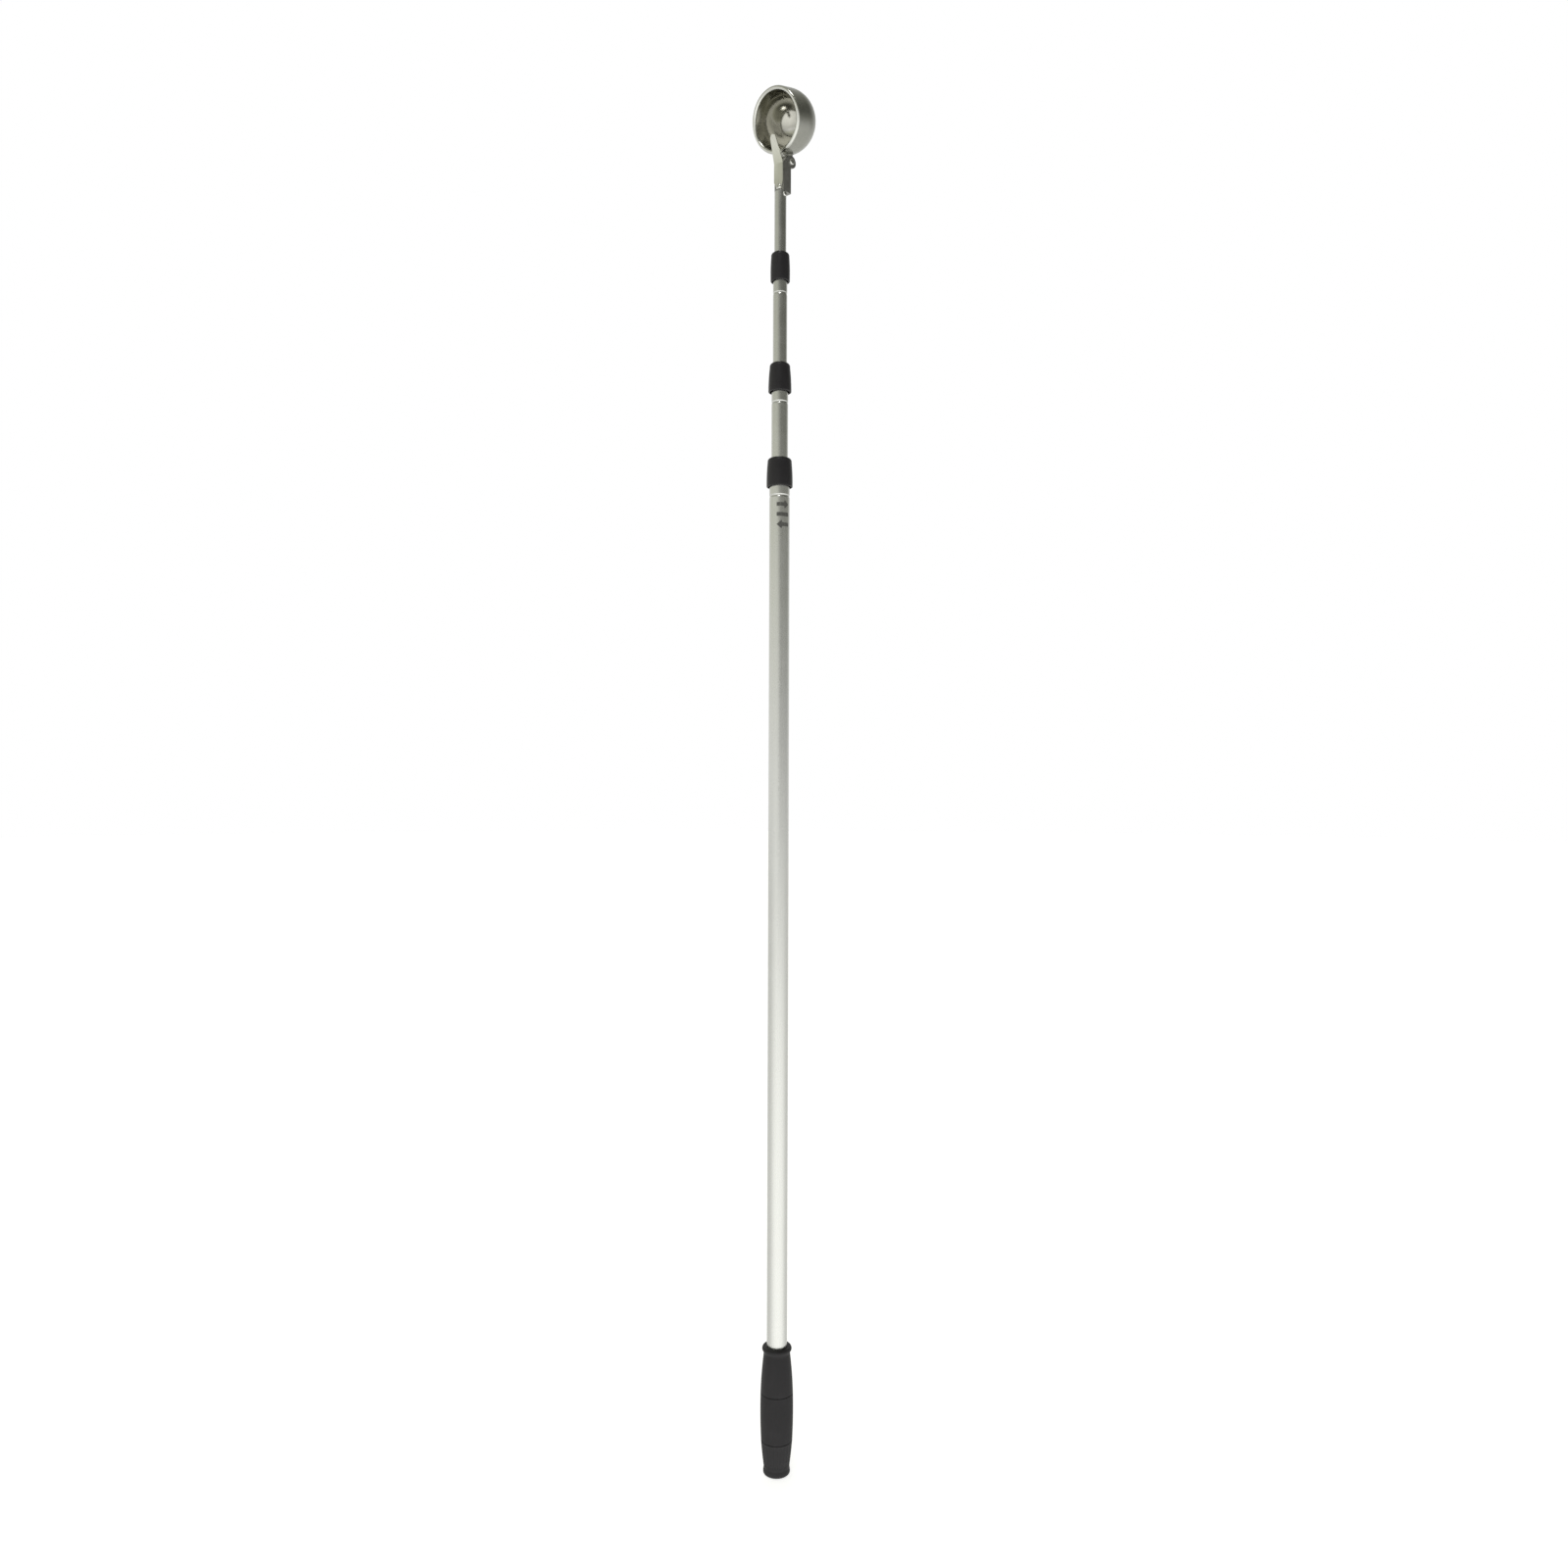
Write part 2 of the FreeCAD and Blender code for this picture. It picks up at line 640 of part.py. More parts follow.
def lug_rivets():
    """Two round-head rivets through the bowl and the lug's plate."""
    depth, drop = pin_in_cup()
    plate = drop - LUG_PLATE_LOW
    walls = cup_bowl().fuse(hinge_lug())
    solids = []
    for place in RIVET_PLACES:
        beyond = max(depth + place - CUP_STRAIGHT, 0)
        inner = math.sqrt((CUP_RADIUS - CUP_WALL) ** 2 - beyond ** 2)
        rivet = turned(
            (0, inner - 1.0),
            [
                (1.3, inner - 0.75, 2.1, inner - 0.05),
                (2.1, inner + 0.6),
                (RIVET_RADIUS, inner + 0.6),
                (RIVET_RADIUS, plate),
                (1.85, plate),
                (1.65, plate + 0.4),
                (0, plate + 0.4),
            ],
        )
        rivet.Placement = Placement(rivet_start(place), Rotation(Z_AXIS, rivet_way()))
        solids.append(one_solid(rivet.cut(walls)))
    return Part.makeCompound(solids)


def spring_end(angle, offset):
    """Point on the coil at an angle (degrees from +Y towards +Z) and an offset along X."""
    a = math.radians(angle)
    return Vector(offset, PIN.y + SPRING_COIL * math.cos(a), PIN.z + SPRING_COIL * math.sin(a))


def torsion_spring():
    """Wire spring on the hinge pin, with one leg on the block and one under the lug's plate."""
    start_angle = -90.0
    end_angle = 90.0 + CUP_TILT - SPRING_RISE
    turns = SPRING_TURNS + (end_angle - start_angle) / 360.0
    length = SPRING_PITCH * turns
    helix = Part.makeHelix(SPRING_PITCH, length, SPRING_COIL)
    helix.rotate(Vector(), Z_AXIS, start_angle)
    helix.Placement = Placement(Vector(-length / 2, PIN.y, PIN.z), Rotation(Vector(1, 1, 1), 120)).multiply(
        helix.Placement
    )
    rise = SPRING_PITCH / (2 * math.pi * SPRING_COIL)
    first = spring_end(start_angle, -length / 2)
    a = math.radians(start_angle)
    first_way = Vector(-rise, math.sin(a), -math.cos(a)).normalize()
    last = spring_end(end_angle, length / 2)
    a = math.radians(end_angle)
    last_way = Vector(rise, -math.sin(a), math.cos(a)).normalize()
    section = Part.Wire(Part.Circle(first, first_way, SPRING_WIRE).toShape())
    coil = Part.Wire(helix.Edges).makePipeShell([section], True, True)
    shape = coil
    for point, way in ((first, first_way), (last, last_way)):
        shape = shape.fuse(Part.makeCylinder(SPRING_WIRE, SPRING_LEG, point, way))
    return one_solid(shape)


# ---------------------------------------------------------------- assembly
def main():
    """Build every node and write its STEP file."""
    os.makedirs("parts", exist_ok=True)
    save("grip_sleeve", grip_sleeve())
    save("butt_plug", butt_plug())
    for number in (1, 2, 3, 4):
        save(f"tube_{number}", tube(number))
    for number in (1, 2, 3):
        save(f"collar_{number}", collar(number))
        save(f"guide_bush_{number}", guide_bush(number))
    for number in (2, 3, 4):
        save(f"lock_screw_{number}", lock_screw(number))
        save(f"wedge_nut_{number}", wedge_nut(number))
        save(f"expander_sleeve_{number}", expander_sleeve(number))
        save(f"stud_clip_{number}", stud_clip(number))
    save("head_block", head_block())
    save("neck_rivet", neck_rivet())
    save("finger", finger())
    save("finger_screw", finger_screw())
    save("hinge_pin", hinge_pin())
    save("pin_clip", pin_clip())
    save("torsion_spring", torsion_spring())
    save("hinge_lug", hinge_lug())
    save("lug_rivets", lug_rivets())
    save("cup_bowl", cup_bowl())


main()
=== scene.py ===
"""Looks for a telescopic ball retriever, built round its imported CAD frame.

Lengths are metres.  +Z runs up the pole from the grip's butt, and the cup's mouth faces -Y.
"""

import json
import logging
import math
from dataclasses import dataclass
from enum import Enum
from typing import Any, Iterable, Mapping, Sequence

import bmesh
import bpy
from mathutils import Euler, Matrix, Vector
from mathutils.bvhtree import BVHTree


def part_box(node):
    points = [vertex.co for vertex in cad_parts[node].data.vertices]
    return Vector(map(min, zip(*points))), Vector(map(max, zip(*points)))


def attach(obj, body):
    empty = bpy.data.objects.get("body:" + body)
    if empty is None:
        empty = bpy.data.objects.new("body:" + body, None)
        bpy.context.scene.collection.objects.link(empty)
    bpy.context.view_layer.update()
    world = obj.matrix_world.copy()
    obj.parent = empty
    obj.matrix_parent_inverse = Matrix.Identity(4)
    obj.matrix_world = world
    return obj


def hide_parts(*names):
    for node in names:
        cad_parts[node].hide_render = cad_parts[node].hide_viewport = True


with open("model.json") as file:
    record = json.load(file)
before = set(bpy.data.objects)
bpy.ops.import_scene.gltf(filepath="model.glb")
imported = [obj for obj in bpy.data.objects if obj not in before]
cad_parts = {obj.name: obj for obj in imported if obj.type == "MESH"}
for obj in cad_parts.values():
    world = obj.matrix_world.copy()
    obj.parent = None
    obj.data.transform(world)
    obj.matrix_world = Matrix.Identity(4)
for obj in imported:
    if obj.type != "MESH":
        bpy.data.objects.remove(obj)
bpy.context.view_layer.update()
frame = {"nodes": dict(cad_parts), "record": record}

LOG = logging.getLogger("ball_retriever")
MM = 0.001
UP = Vector((0.0, 0.0, 1.0))
SIDEWAYS = Vector((1.0, 0.0, 0.0))
MERGE = 1e-7
Colour = tuple[float, float, float, float]


def shade(red: float, green: float, blue: float) -> Colour:
    """An opaque linear colour."""
    return (red, green, blue, 1.0)


# ---------------------------------------------------------------- shader building
class Sock:
    """An output of a shader node, with arithmetic that adds Math nodes."""

    def __init__(self, graph: "Graph", socket: bpy.types.NodeSocket) -> None:
        """Wraps a node's output socket of a graph."""
        self.graph = graph
        self.socket = socket

    def __add__(self, other: Any) -> "Sock":
        """This value plus another."""
        return self.graph.math("ADD", self, other)

    def __sub__(self, other: Any) -> "Sock":
        """This value less another."""
        return self.graph.math("SUBTRACT", self, other)

    def __rsub__(self, other: Any) -> "Sock":
        """Another value less this one."""
        return self.graph.math("SUBTRACT", other, self)

    def __mul__(self, other: Any) -> "Sock":
        """This value times another."""
        return self.graph.math("MULTIPLY", self, other)

    __radd__ = __add__
    __rmul__ = __mul__


class Graph:
    """A shader tree that is written as expressions."""

    def __init__(self, tree: bpy.types.NodeTree) -> None:
        """Takes over a tree and empties it."""
        self.tree = tree
        tree.nodes.clear()

    def add(
        self,
        kind: str,
        settings: Mapping[str, Any] | None = None,
        sockets: Mapping[Any, Any] | None = None,
        output: int | str = 0,
    ) -> Sock:
        """Adds one node.

        Args:
            kind: The node's type.
            settings: Its properties, set before its sockets; "stops" is a colour ramp's list.
            sockets: A value or a Sock for each input, by name or number.
            output: The output to hand back.

        Returns:
            The chosen output.
        """
        node = self.tree.nodes.new(kind)
        for name, value in (settings or {}).items():
            if name == "stops":
                self.set_stops(node.color_ramp, value)
            else:
                setattr(node, name, value)
        for name, value in (sockets or {}).items():
            if isinstance(value, Sock):
                self.tree.links.new(value.socket, node.inputs[name])
            else:
                node.inputs[name].default_value = value
        return Sock(self, node.outputs[output]) if node.outputs else Sock(self, None)

    @staticmethod
    def set_stops(ramp: bpy.types.ColorRamp, stops: Sequence[tuple[float, Colour]]) -> None:
        """Gives a colour ramp its stops.

        Args:
            ramp: The ramp, as a new node has it.
            stops: Place and colour of each stop, from low to high.
        """
        for place, colour in stops[1:-1]:
            ramp.elements.new(place).color = colour
        for element, (place, colour) in zip((ramp.elements[0], ramp.elements[-1]), (stops[0], stops[-1])):
            element.position = place
            element.color = colour

    def math(self, operation: str, *values: Any) -> Sock:
        """A Math node on one to three values."""
        return self.add("ShaderNodeMath", {"operation": operation}, dict(enumerate(values)))

    def place(self) -> Sock:
        """The point's place on the object, in metres."""
        return self.add("ShaderNodeTexCoord", output="Object")

    def part(self, vector: Sock, axis: int) -> Sock:
        """One component of a vector."""
        return self.add("ShaderNodeSeparateXYZ", None, {0: vector}, axis)

    def stretch(self, vector: Sock, factors: tuple[float, float, float]) -> Sock:
        """A vector times a factor on each axis."""
        return self.add("ShaderNodeVectorMath", {"operation": "MULTIPLY"}, {0: vector, 1: factors})

    def dot(self, vector: Sock, way: Sequence[float]) -> Sock:
        """How far a vector goes along a direction."""
        return self.add("ShaderNodeVectorMath", {"operation": "DOT_PRODUCT"}, {0: vector, 1: way}, 1)

    def turn(self, vector: Sock, origin: Vector, tilt: float) -> Sock:
        """A point seen from an origin, in axes tilted about X.

        Args:
            vector: The point.
            origin: Where the new axes meet.
            tilt: Their turn about X, in radians.

        Returns:
            The point's place in those axes.
        """
        return self.add(
            "ShaderNodeMapping",
            {"vector_type": "TEXTURE"},
            {"Vector": vector, "Location": origin, "Rotation": (tilt, 0.0, 0.0)},
        )

    def noise(self, vector: Sock, scale: float, detail: float = 2.0) -> Sock:
        """Smooth noise from 0 to 1, with scale grains per metre."""
        return self.add("ShaderNodeTexNoise", None, {"Vector": vector, "Scale": scale, "Detail": detail})

    def cells(self, vector: Sock, scale: float) -> Sock:
        """Distance to the nearest of a scatter of points."""
        return self.add("ShaderNodeTexVoronoi", None, {"Vector": vector, "Scale": scale})

    def ease(self, value: Sock, low: float, high: float) -> Sock:
        """A smooth step.

        Args:
            value: What is measured.
            low: Where the step is still 0.
            high: Where it has reached 1.

        Returns:
            The step, from 0 to 1.
        """
        return self.add(
            "ShaderNodeMapRange",
            {"interpolation_type": "SMOOTHSTEP"},
            {"Value": value, "From Min": low, "From Max": high},
        )

    def mix(self, factor: Any, low: Any, high: Any) -> Sock:
        """A colour between two others."""
        return self.add("ShaderNodeMix", {"data_type": "RGBA"}, {0: factor, 6: low, 7: high}, 2)

    def ramp(self, factor: Sock, stops: Sequence[tuple[float, Colour]]) -> Sock:
        """A colour read from a ramp."""
        return self.add("ShaderNodeValToRGB", {"stops": stops}, {0: factor})

    def bump(self, height: Sock, depth: float, strength: float) -> Sock:
        """A normal bent by a height.

        Args:
            height: The relief, from 0 to 1.
            depth: The relief's depth in metres.
            strength: How much of it shows.

        Returns:
            The bent normal.
        """
        return self.add("ShaderNodeBump", None, {"Height": height, "Distance": depth, "Strength": strength})

    def surface(self, sockets: Mapping[str, Any]) -> None:
        """Ends a material's tree with a Principled surface that has these sockets."""
        shader = self.add("ShaderNodeBsdfPrincipled", None, sockets)
        self.add("ShaderNodeOutputMaterial", None, {"Surface": shader})


# ---------------------------------------------------------------- finishes
@dataclass(frozen=True)
class Finish:
    """A named procedural finish, whose material is made once."""

    name: str

    def material(self) -> bpy.types.Material:
        """Paints the material at first use.

        Returns:
            The finish's material.
        """
        found = bpy.data.materials.get(self.name)
        if found is None:
            found = bpy.data.materials.new(self.name)
            found.use_nodes = True
            self.paint(Graph(found.node_tree))
        return found

    def paint(self, graph: Graph) -> None:
        """Fills the material's tree; each kind of finish has its own."""
        raise NotImplementedError


class Lay(Enum):
    """Which way a metal's fine lines run: the factors squeeze noise along them."""

    UPRIGHT = (1.0, 1.0, 0.012)
    ACROSS = (0.012, 1.0, 1.0)
    EVEN = (1.0, 1.0, 1.0)


@dataclass(frozen=True)
class SatinMetal(Finish):
    """Metal with fine drawn or brushed lines, clouded by handling."""

    light: Colour
    dark: Colour
    lay: Lay = Lay.UPRIGHT
    grain: float = 2600.0
    roughness: float = 0.27
    spread: float = 0.10
    relief: float = 0.14

    def paint(self, graph: Graph) -> None:
        """Lines in colour, roughness and bump, over slow clouds and a few darker specks.

        Args:
            graph: The material's tree.
        """
        place = graph.place()
        lined = graph.stretch(place, self.lay.value)
        lines = graph.noise(lined, self.grain, 4.0)
        streaks = graph.noise(lined, self.grain * 0.22, 2.0)
        cloud = graph.noise(place, 70.0, 3.0)
        specks = graph.ease(graph.noise(place, 1500.0, 1.0), 0.70, 0.80)
        tone = lines * 0.35 + streaks * 0.4 + cloud * 0.35 - specks * 0.35
        colour = graph.mix(tone, self.dark, self.light)
        rough = (lines - 0.5) * self.spread + (cloud - 0.5) * self.spread + self.roughness
        normal = graph.bump(lines * 0.7 + streaks * 0.3, 0.02 * MM, self.relief)
        graph.surface({"Base Color": colour, "Metallic": 1.0, "Roughness": rough, "Normal": normal})


@dataclass(frozen=True)
class SpunMetal(Finish):
    """Sheet metal spun or polished on a lathe, with faint rings round the cup's axis."""

    light: Colour
    dark: Colour
    origin: tuple[float, float, float]
    tilt: float
    roughness: float
    spread: float
    relief: float

    def paint(self, graph: Graph) -> None:
        """Rings by depth along the axis, over polishing clouds.

        Args:
            graph: The material's tree.
        """
        place = graph.place()
        own = graph.turn(place, self.origin, self.tilt)
        rings = graph.noise(graph.stretch(own, (0.02, 0.02, 1.0)), 1900.0, 3.0)
        cloud = graph.noise(place, 95.0, 3.0)
        wipe = graph.noise(graph.stretch(place, (1.0, 0.35, 1.0)), 420.0, 4.0)
        tone = rings * 0.3 + cloud * 0.45 + wipe * 0.3
        colour = graph.mix(tone, self.dark, self.light)
        rough = (cloud - 0.5) * self.spread + (wipe - 0.5) * self.spread + self.roughness
        normal = graph.bump(rings * 0.6 + wipe * 0.4, 0.03 * MM, self.relief)
        graph.surface({"Base Color": colour, "Metallic": 1.0, "Roughness": rough, "Normal": normal})


@dataclass(frozen=True)
class CastMetal(Finish):
    """Fine-cast grey metal with a sandy skin and a few pits."""

    light: Colour
    dark: Colour
    roughness: float = 0.42

    def paint(self, graph: Graph) -> None:
        """Sandy grain and pits in colour, roughness and bump.

        Args:
            graph: The material's tree.
        """
        place = graph.place()
        sand = graph.noise(place, 3800.0, 3.0)
        cloud = graph.noise(place, 160.0, 3.0)
        pits = 1.0 - graph.ease(graph.cells(place, 900.0), 0.06, 0.22)
        tone = sand * 0.45 + cloud * 0.55 - pits * 0.3
        colour = graph.mix(tone, self.dark, self.light)
        rough = (sand - 0.5) * 0.2 + (cloud - 0.5) * 0.2 + self.roughness
        normal = graph.bump(sand - pits * 0.6, 0.05 * MM, 0.45)
        graph.surface({"Base Color": colour, "Metallic": 1.0, "Roughness": rough, "Normal": normal})


@dataclass(frozen=True)
class MouldedPlastic(Finish):
    """Moulded polymer with a fine spark-eroded skin."""

    light: Colour
    dark: Colour
    roughness: float = 0.42
    grain: float = 3400.0
    relief: float = 0.35
    gloss: float = 0.35

    def paint(self, graph: Graph) -> None:
        """Fine skin with slow flow marks and rubbed patches.

        Args:
            graph: The material's tree.
        """
        place = graph.place()
        skin = graph.noise(place, self.grain, 2.0)
        flow = graph.noise(graph.stretch(place, (1.0, 1.0, 0.3)), 220.0, 3.0)
        rub = graph.ease(graph.noise(place, 130.0, 2.0), 0.45, 0.75)
        colour = graph.mix(flow * 0.6 + skin * 0.4, self.dark, self.light)
        rough = (skin - 0.5) * 0.16 + (flow - 0.5) * 0.1 - rub * 0.06 + self.roughness
        normal = graph.bump(skin, 0.03 * MM, self.relief)
        graph.surface(
            {"Base Color": colour, "Roughness": rough, "Specular IOR Level": self.gloss, "Normal": normal}
        )


@dataclass(frozen=True)
class GripRubber(Finish):
    """Matt rubber: pebbled between the two bands, smooth-skinned above and below."""

    light: Colour
    dark: Colour
    low_band: float
    high_band: float
    gloss: float = 0.3

    def paint(self, graph: Graph) -> None:
        """Pebbles and skin grain, with a little dust on the pebbled zone.

        Args:
            graph: The material's tree.
        """
        place = graph.place()
        height = graph.part(place, 2)
        edge = 1.2 * MM
        above = graph.ease(height, self.low_band, self.low_band + edge)
        below = graph.ease(height, self.high_band - edge, self.high_band)
        zone = above * (1.0 - below)
        pebbles = graph.ease(graph.cells(place, 1250.0), 0.05, 0.62)
        skin = graph.noise(place, 4200.0, 2.0)
        cloud = graph.noise(place, 85.0, 3.0)
        relief = (1.0 - pebbles) * zone * 0.8 + skin * 0.3
        dust = graph.ease(cloud, 0.42, 0.75) * 0.5 + skin * 0.3
        colour = graph.mix(dust, self.dark, self.light)
        rough = (skin - 0.5) * 0.16 + (cloud - 0.5) * 0.12 + zone * 0.06 + 0.56
        normal = graph.bump(relief, 0.12 * MM, 0.5)
        graph.surface(
            {"Base Color": colour, "Roughness": rough, "Specular IOR Level": self.gloss, "Normal": normal}
        )


@dataclass(frozen=True)
class MarkInk(Finish):
    """Screen-printed ink, slightly worn through."""

    ink: Colour
    worn: Colour

    def paint(self, graph: Graph) -> None:
        """Ink with a dusting of pinholes.

        Args:
            graph: The material's tree.
        """
        place = graph.place()
        wear = graph.ease(graph.noise(place, 1800.0, 3.0), 0.58, 0.74)
        cloud = graph.noise(place, 240.0, 2.0)
        colour = graph.mix(wear * 0.6 + cloud * 0.25, self.ink, self.worn)
        graph.surface({"Base Color": colour, "Roughness": cloud * 0.15 + 0.38})


# ---------------------------------------------------------------- measuring and modelling
class Gauge:
    """Feels a CAD node's surface, so that a new piece takes its sizes from the frame."""

    def __init__(self, node: str, origin: Vector = Vector(), axis: Vector = UP) -> None:
        """Sets the gauge on a node.

        Args:
            node: The CAD node.
            origin: A point on the axis, from which heights count.
            axis: The axis of turning, square to X.
        """
        self.mesh = frame["nodes"][node].data
        self.tree = BVHTree.FromObject(frame["nodes"][node], bpy.context.evaluated_depsgraph_get())
        self.origin = origin
        self.axis = axis

    def ends(self) -> tuple[float, float]:
        """The node's lowest and highest place along the axis."""
        heights = [(v.co - self.origin).dot(self.axis) for v in self.mesh.vertices]
        return min(heights), max(heights)

    def outer(self, height: float) -> float:
        """The outside radius at a height."""
        start = self.origin + self.axis * height + SIDEWAYS
        return 1.0 - self.tree.ray_cast(start, -SIDEWAYS)[3]

    def inner(self, height: float) -> float:
        """The inside radius at a height."""
        return self.tree.ray_cast(self.origin + self.axis * height, SIDEWAYS)[3]


class Outline:
    """A half-section drawn from point to point as (radius, height), then turned about the axis."""

    def __init__(self, radius: float, height: float) -> None:
        """Puts the pen down.

        Args:
            radius: Radius of the first point.
            height: Height of the first point.
        """
        self.mesh = bmesh.new()
        self.first = self.mesh.verts.new((radius, 0.0, height))
        self.pen = self.first
        self.rounded: list[tuple[bmesh.types.BMVert, float]] = []

    def line(self, radius: float, height: float, rounding: float = 0.0) -> "Outline":
        """Draws a straight run.

        Args:
            radius: Radius of its end.
            height: Height of its end.
            rounding: How much of the corner there is rounded off.

        Returns:
            The outline itself.
        """
        corner = self.mesh.verts.new((radius, 0.0, height))
        self.mesh.edges.new((self.pen, corner))
        self.pen = corner
        if rounding:
            self.rounded.append((corner, rounding))
        return self

    def curve(
        self, through: tuple[float, float], to: tuple[float, float], steps: int = 8, rounding: float = 0.0
    ) -> "Outline":
        """Draws an arc.

        Args:
            through: A (radius, height) on the way.
            to: Its end.
            steps: Straight pieces in it.
            rounding: How much of the corner at its end is rounded off.

        Returns:
            The outline itself.
        """
        centre, angle = arc_through((self.pen.co.x, self.pen.co.z), through, to)
        turned = bmesh.ops.spin(
            self.mesh,
            geom=[self.pen],
            cent=(centre[0], 0.0, centre[1]),
            axis=(0.0, 1.0, 0.0),
            angle=angle,
            steps=steps,
            use_duplicate=False,
        )
        self.pen = next(g for g in turned["geom_last"] if isinstance(g, bmesh.types.BMVert))
        if rounding:
            self.rounded.append((self.pen, rounding))
        return self

    def close(self) -> "Outline":
        """Draws a straight run back to the start."""
        self.mesh.edges.new((self.pen, self.first))
        return self

    def turned(self, steps: int = 96, segments: int = 3) -> bmesh.types.BMesh:
        """Rounds the marked corners and turns the section full circle.

        Args:
            steps: Faces round the axis.
            segments: Faces across each rounded corner.

        Returns:
            The turned mesh, its seam and poles merged and its faces outwards.
        """
        for corner, size in self.rounded:
            bmesh.ops.bevel(
                self.mesh,
                geom=[corner],
                offset=size,
                offset_type="OFFSET",
                segments=segments,
                profile=0.5,
                affect="VERTICES",
                material=-1,
            )
        bmesh.ops.spin(
            self.mesh,
            geom=self.mesh.verts[:] + self.mesh.edges[:],
            cent=(0.0, 0.0, 0.0),
            axis=UP,
            angle=math.tau,
            steps=steps,
            use_merge=True,
            use_duplicate=False,
        )
        return settled(self.mesh)


def arc_through(
    start: tuple[float, float], through: tuple[float, float], end: tuple[float, float]
) -> tuple[tuple[float, float], float]:
    """The circle through three (radius, height) points.

    Args:
        start: Where the arc starts.
        through: A point on it.
        end: Where it ends.

    Returns:
        The circle's centre, and the turn about +Y from start to end.
    """
    (ax, az), (bx, bz), (cx, cz) = start, through, end
    a, b, c = ax * ax + az * az, bx * bx + bz * bz, cx * cx + cz * cz
    twice = 2.0 * (ax * (bz - cz) + bx * (cz - az) + cx * (az - bz))
    x = (a * (bz - cz) + b * (cz - az) + c * (az - bz)) / twice
    z = (a * (cx - bx) + b * (ax - cx) + c * (bx - ax)) / twice
    first = math.atan2(az - z, ax - x)
    sweep = (math.atan2(cz - z, cx - x) - first) % math.tau
    passed = (math.atan2(bz - z, bx - x) - first) % math.tau
    if passed > sweep:
        sweep -= math.tau
    return (x, z), -sweep


def settled(mesh: bmesh.types.BMesh) -> bmesh.types.BMesh:
    """Merges a mesh's doubles and turns its faces outwards.

    Args:
        mesh: The mesh, changed in place.

    Returns:
        The same mesh.
    """
    bmesh.ops.remove_doubles(mesh, verts=mesh.verts, dist=MERGE)
    bmesh.ops.recalc_face_normals(mesh, faces=mesh.faces)
    return mesh


def cad_copy(node: str, rounding: float, crease: float = math.radians(28.0)) -> bmesh.types.BMesh:
    """A copy of a CAD node with whole flat faces and rounded edges.

    Args:
        node: The CAD node.
        rounding: Width of the rounding on its edges.
        crease: The angle between faces past which an edge is rounded.

    Returns:
        The copy.
    """
    mesh = bmesh.new()
    mesh.from_mesh(frame["nodes"][node].data)
    bmesh.ops.remove_doubles(mesh, verts=mesh.verts, dist=1e-6)
    bmesh.ops.dissolve_limit(
        mesh, angle_limit=math.radians(0.6), verts=mesh.verts, edges=mesh.edges, use_dissolve_boundaries=False
    )
    sharp = [e for e in mesh.edges if len(e.link_faces) == 2 and e.calc_face_angle(0.0) > crease]
    bmesh.ops.bevel(
        mesh,
        geom=sharp,
        offset=rounding,
        offset_type="OFFSET",
        segments=2,
        profile=0.5,
        affect="EDGES",
        clamp_overlap=True,
        material=-1,
    )
    return mesh


def publish(
    name: str,
    mesh: bmesh.types.BMesh,
    finishes: Sequence[Finish],
    body: str,
    stands_for: Iterable[str] = (),
    crease: float = math.radians(40.0),
) -> bpy.types.Object:
    """Turns a finished mesh into a piece of the object.

    Args:
        name: The piece's name.
        mesh: Its mesh, in place; it is used up.
        finishes: Its finishes, in the order of its faces' material numbers.
        body: The CAD body that it rides on.
        stands_for: The CAD nodes that it replaces.
        crease: The angle past which an edge is shaded sharp.

    Returns:
        The piece.
    """
    data = bpy.data.meshes.new(name)
    mesh.to_mesh(data)
    mesh.free()
    data.shade_smooth()
    data.set_sharp_from_angle(angle=crease)
    for finish in finishes:
        data.materials.append(finish.material())
    piece = bpy.data.objects.new(name, data)
    bpy.context.scene.collection.objects.link(piece)
    evened = piece.modifiers.new("even_normals", "WEIGHTED_NORMAL")
    evened.keep_sharp = True
    evened.weight = 100
    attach(piece, body)
    nodes = tuple(stands_for)
    if nodes:
        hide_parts(*nodes)
    LOG.info("%s: %d faces, rides on %s", name, len(data.polygons), body)
    return piece


def dress(node: str, finish: Finish) -> None:
    """Gives a CAD node that stays in view its finish.

    Args:
        node: The CAD node.
        finish: What it is made to look like.
    """
    for slot in frame["nodes"][node].material_slots:
        slot.material = finish.material()
    LOG.info("%s: kept from the frame as %s", node, finish.name)


# ---------------------------------------------------------------- palette
TUBE_METAL = SatinMetal("satin_drawn_tube", shade(0.755, 0.76, 0.735), shade(0.64, 0.645, 0.62))
FINGER_METAL = SatinMetal(
    "brushed_finger_plate", shade(0.80, 0.80, 0.73), shade(0.60, 0.60, 0.53), roughness=0.3, grain=1900.0
)
LUG_METAL = SatinMetal(
    "satin_hinge_bracket", shade(0.58, 0.58, 0.54), shade(0.46, 0.46, 0.42), Lay.ACROSS, grain=5200.0
)
BRIGHT_METAL = SatinMetal(
    "bright_plated_fixing", shade(0.86, 0.86, 0.83), shade(0.70, 0.70, 0.66), Lay.EVEN, roughness=0.16
)
SPRING_METAL = SatinMetal(
    "oiled_spring_wire", shade(0.52, 0.51, 0.49), shade(0.30, 0.29, 0.27), Lay.EVEN, roughness=0.3
)
BLOCK_METAL = CastMetal("fine_cast_block", shade(0.42, 0.42, 0.40), shade(0.28, 0.28, 0.265))
COLLAR_PLASTIC = MouldedPlastic(
    "black_collar_plastic", shade(0.022, 0.021, 0.023), shade(0.014, 0.013, 0.015)
)
BLACK_NYLON = MouldedPlastic("black_nylon_moulding", shade(0.06, 0.06, 0.06), shade(0.035, 0.035, 0.035))
